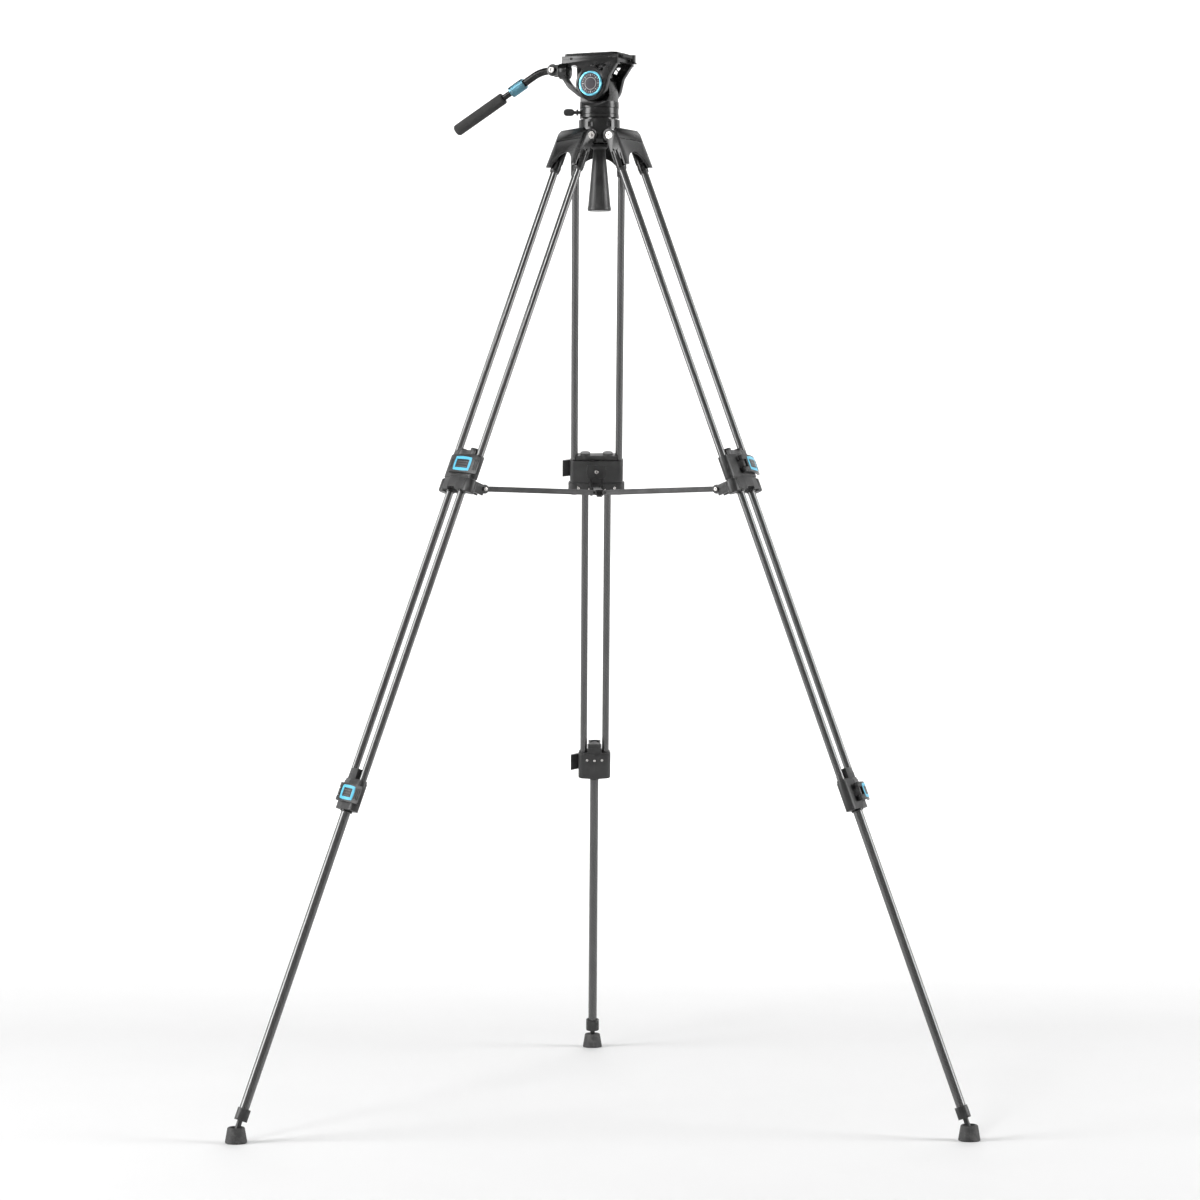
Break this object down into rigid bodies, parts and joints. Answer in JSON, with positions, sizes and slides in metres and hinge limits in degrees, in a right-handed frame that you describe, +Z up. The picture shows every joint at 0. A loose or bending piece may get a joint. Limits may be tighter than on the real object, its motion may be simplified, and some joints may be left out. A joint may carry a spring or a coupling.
{
  "type": "video tripod with fluid head",
  "caption": "Three-section twin-tube video tripod with mid-level spreader, bowl mount and fluid pan-tilt head with a pan bar.",
  "frame": {"origin": "on the floor, under the centre of the three feet's bounding box", "axes": "+Z up; the rear leg points along +Y, and the front legs stand 120 degrees to each side of it"},
  "size_m": [1.2558, 1.0926, 1.8475],
  "materials": {
    "carbon_tube": "gloss carbon fibre weave",
    "black_plastic": "fine grained matte",
    "lever_plastic": "satin with a blue inset",
    "arm_plastic": "satin",
    "black_cast": "satin powder coat",
    "rubber": "matte",
    "steel": "machined",
    "dial_plastic": "satin",
    "blue_anodised": "satin blue anodised",
    "black_anodised": "satin anodised",
    "foam": "foam rubber"
  },
  "bodies": {
    "root": {"bowl_spider": "black_cast", "leg_pivot_bolts": "steel"},
    "leg_1": {"yoke_1": "black_cast", "upper_tubes_1": "carbon_tube", "mid_clamp_1": "black_plastic"},
    "mid_lever_1": {"mid_lever_1": "lever_plastic"},
    "middle_1": {"middle_tubes_1": "carbon_tube", "tube_bridge_1": "black_plastic", "lower_clamp_1": "black_plastic"},
    "lower_lever_1": {"lower_lever_1": "lever_plastic"},
    "lower_1": {"lower_tube_1": "carbon_tube", "foot_collar_1": "black_plastic"},
    "foot_1": {"foot_1": "rubber"},
    "arm_1": {"spreader_arm_1": "arm_plastic"},
    "leg_2": {"yoke_2": "black_cast", "upper_tubes_2": "carbon_tube", "mid_clamp_2": "black_plastic"},
    "mid_lever_2": {"mid_lever_2": "lever_plastic"},
    "middle_2": {"middle_tubes_2": "carbon_tube", "tube_bridge_2": "black_plastic", "lower_clamp_2": "black_plastic"},
    "lower_lever_2": {"lower_lever_2": "lever_plastic"},
    "lower_2": {"lower_tube_2": "carbon_tube", "foot_collar_2": "black_plastic"},
    "foot_2": {"foot_2": "rubber"},
    "arm_2": {"spreader_arm_2": "arm_plastic"},
    "leg_3": {"yoke_3": "black_cast", "upper_tubes_3": "carbon_tube", "mid_clamp_3": "black_plastic"},
    "mid_lever_3": {"mid_lever_3": "lever_plastic"},
    "middle_3": {"middle_tubes_3": "carbon_tube", "tube_bridge_3": "black_plastic", "lower_clamp_3": "black_plastic"},
    "lower_lever_3": {"lower_lever_3": "lever_plastic"},
    "lower_3": {"lower_tube_3": "carbon_tube", "foot_collar_3": "black_plastic"},
    "foot_3": {"foot_3": "rubber"},
    "arm_3": {"spreader_arm_3": "arm_plastic"},
    "hub": {"spreader_hub": "black_cast"},
    "ball": {"half_ball": "black_cast", "pan_base": "black_cast"},
    "clamp_knob": {"bowl_clamp_knob": "black_plastic"},
    "pan_lever": {"pan_lock_lever": "black_plastic"},
    "pan": {"tilt_housing": "black_cast", "tilt_axle": "steel", "drag_cartridge": "black_plastic", "counterbalance_spring": "steel"},
    "tilt": {"cradle": "black_cast", "drag_dial": "dial_plastic", "dial_ring": "blue_anodised", "handle_clevis": "black_cast"},
    "tilt_lever": {"tilt_lock_lever": "black_plastic"},
    "plate": {"quick_plate": "black_anodised"},
    "screw": {"camera_screw": "steel"},
    "plate_lever": {"plate_lock_lever": "black_plastic"},
    "handle": {"handle_arm": "black_anodised"},
    "sleeve": {"handle_sleeve": "blue_anodised"},
    "grip": {"handle_tube": "black_anodised", "handle_grip": "foam"}
  },
  "joints": [
    {"name": "leg_fold_1", "type": "hinge", "parent": "root", "child": "leg_1", "pos_m": [0, -0.13192, 1.697], "axis": [-1, 0, 0], "range_deg": [0, 20]},
    {"name": "mid_lock_1", "type": "hinge", "parent": "leg_1", "child": "mid_lever_1", "pos_m": [0.012, 0.11083, 1.12839], "axis": [0, 0.3657, -0.9307], "range_deg": [0, 95]},
    {"name": "middle_slide_1", "type": "slide", "parent": "leg_1", "child": "middle_1", "axis": [0, -0.3657, 0.9307], "range_m": [0, 0.48]},
    {"name": "lower_lock_1", "type": "hinge", "parent": "middle_1", "child": "lower_lever_1", "pos_m": [0.008, 0.32805, 0.57553], "axis": [0, 0.3657, -0.9307], "range_deg": [0, 95]},
    {"name": "lower_slide_1", "type": "slide", "parent": "middle_1", "child": "lower_1", "axis": [0, -0.3657, 0.9307], "range_m": [0, 0.48]},
    {"name": "foot_tilt_1", "type": "hinge", "parent": "lower_1", "child": "foot_1", "pos_m": [0, 0.52776, 0.018], "axis": [-1, 0, 0], "range_deg": [-36, 6]},
    {"name": "leg_fold_2", "type": "hinge", "parent": "root", "child": "leg_2", "pos_m": [-0.0381, -0.19792, 1.697], "axis": [0.5, -0.866, 0], "range_deg": [0, 20]},
    {"name": "mid_lock_2", "type": "hinge", "parent": "leg_2", "child": "mid_lever_2", "pos_m": [-0.25433, -0.3089, 1.12839], "axis": [-0.3167, -0.1828, -0.9307], "range_deg": [0, 95]},
    {"name": "middle_slide_2", "type": "slide", "parent": "leg_2", "child": "middle_2", "axis": [0.3167, 0.1828, 0.9307], "range_m": [0, 0.48]},
    {"name": "lower_lock_2", "type": "hinge", "parent": "middle_2", "child": "lower_lever_2", "pos_m": [-0.44045, -0.42098, 0.57553], "axis": [-0.3167, -0.1828, -0.9307], "range_deg": [0, 95]},
    {"name": "lower_slide_2", "type": "slide", "parent": "middle_2", "child": "lower_2", "axis": [0.3167, 0.1828, 0.9307], "range_m": [0, 0.48]},
    {"name": "foot_tilt_2", "type": "hinge", "parent": "lower_2", "child": "foot_2", "pos_m": [-0.60941, -0.52776, 0.018], "axis": [0.5, -0.866, 0], "range_deg": [-36, 6]},
    {"name": "leg_fold_3", "type": "hinge", "parent": "root", "child": "leg_3", "pos_m": [0.0381, -0.19792, 1.697], "axis": [0.5, 0.866, 0], "range_deg": [0, 20]},
    {"name": "mid_lock_3", "type": "hinge", "parent": "leg_3", "child": "mid_lever_3", "pos_m": [0.24233, -0.32969, 1.12839], "axis": [0.3167, -0.1828, -0.9307], "range_deg": [0, 95]},
    {"name": "middle_slide_3", "type": "slide", "parent": "leg_3", "child": "middle_3", "axis": [-0.3167, 0.1828, 0.9307], "range_m": [0, 0.48]},
    {"name": "lower_lock_3", "type": "hinge", "parent": "middle_3", "child": "lower_lever_3", "pos_m": [0.43245, -0.43483, 0.57553], "axis": [0.3167, -0.1828, -0.9307], "range_deg": [0, 95]},
    {"name": "lower_slide_3", "type": "slide", "parent": "middle_3", "child": "lower_3", "axis": [-0.3167, 0.1828, 0.9307], "range_m": [0, 0.48]},
    {"name": "foot_tilt_3", "type": "hinge", "parent": "lower_3", "child": "foot_3", "pos_m": [0.60941, -0.52776, 0.018], "axis": [0.5, 0.866, 0], "range_deg": [-36, 6]},
    {"name": "hub_rise", "type": "slide", "parent": "root", "child": "hub", "axis": [0, 0, 1], "range_m": [0, 0.19931]},
    {"name": "arm_swing_1", "type": "hinge", "parent": "hub", "child": "arm_1", "pos_m": [0, -0.16192, 1.079], "axis": [-1, 0, 0], "range_deg": [0, 91.21]},
    {"name": "arm_swing_2", "type": "hinge", "parent": "hub", "child": "arm_2", "pos_m": [-0.01212, -0.18292, 1.079], "axis": [0.5, -0.866, 0], "range_deg": [0, 91.21]},
    {"name": "arm_swing_3", "type": "hinge", "parent": "hub", "child": "arm_3", "pos_m": [0.01212, -0.18292, 1.079], "axis": [0.5, 0.866, 0], "range_deg": [0, 91.21]},
    {"name": "bowl_level", "type": "hinge", "parent": "root", "child": "ball", "pos_m": [0, -0.17592, 1.728], "axis": [1, 0, 0], "range_deg": [-4.5, 4.5]},
    {"name": "bowl_knob_turn", "type": "hinge", "parent": "ball", "child": "clamp_knob", "pos_m": [0, -0.17592, 1.69], "axis": [0, 0, 1], "continuous": true},
    {"name": "pan_lock_turn", "type": "hinge", "parent": "ball", "child": "pan_lever", "pos_m": [-0.04, -0.17592, 1.742], "axis": [-1, 0, 0], "range_deg": [-60, 60]},
    {"name": "pan", "type": "hinge", "parent": "ball", "child": "pan", "pos_m": [0, -0.17592, 1.75], "axis": [0, 0, 1], "continuous": true},
    {"name": "tilt", "type": "hinge", "parent": "pan", "child": "tilt", "pos_m": [0, -0.17592, 1.789], "axis": [0.4226, 0.9063, 0], "range_deg": [-34, 60]},
    {"name": "tilt_lock_turn", "type": "hinge", "parent": "tilt", "child": "tilt_lever", "pos_m": [0.0169, -0.13967, 1.789], "axis": [0.4226, 0.9063, 0], "range_deg": [-30, 40]},
    {"name": "plate_slide", "type": "slide", "parent": "tilt", "child": "plate", "axis": [0.9063, -0.4226, 0], "range_m": [-0.012, 0.004]},
    {"name": "camera_screw_turn", "type": "hinge", "parent": "plate", "child": "screw", "pos_m": [-0.01269, -0.17, 1.84], "axis": [0, 0, 1], "continuous": true},
    {"name": "plate_lock_swing", "type": "hinge", "parent": "tilt", "child": "plate_lever", "pos_m": [0.05915, -0.17923, 1.835], "axis": [0, 0, 1], "range_deg": [0, 60]},
    {"name": "handle_angle", "type": "hinge", "parent": "tilt", "child": "handle", "pos_m": [-0.07745, -0.17401, 1.815], "axis": [-0.4226, -0.9063, 0], "range_deg": [-40, 30]},
    {"name": "sleeve_twist", "type": "hinge", "parent": "handle", "child": "sleeve", "pos_m": [-0.13993, -0.14488, 1.78955], "axis": [-0.7801, 0.3638, -0.509], "range_deg": [0, 90]},
    {"name": "handle_extend", "type": "slide", "parent": "handle", "child": "grip", "axis": [-0.7801, 0.3638, -0.509], "range_m": [-0.013, 0.025]}
  ],
  "couplings": [
    {"joint": "leg_fold_2", "follows": "leg_fold_1", "ratio": 1},
    {"joint": "leg_fold_3", "follows": "leg_fold_1", "ratio": 1},
    {"joint": "hub_rise", "follows": "leg_fold_1", "m_per_rad": 0.57095},
    {"joint": "arm_swing_1", "follows": "leg_fold_1", "ratio": 4.5601},
    {"joint": "arm_swing_2", "follows": "leg_fold_1", "ratio": 4.5601},
    {"joint": "arm_swing_3", "follows": "leg_fold_1", "ratio": 4.5601}
  ]
}
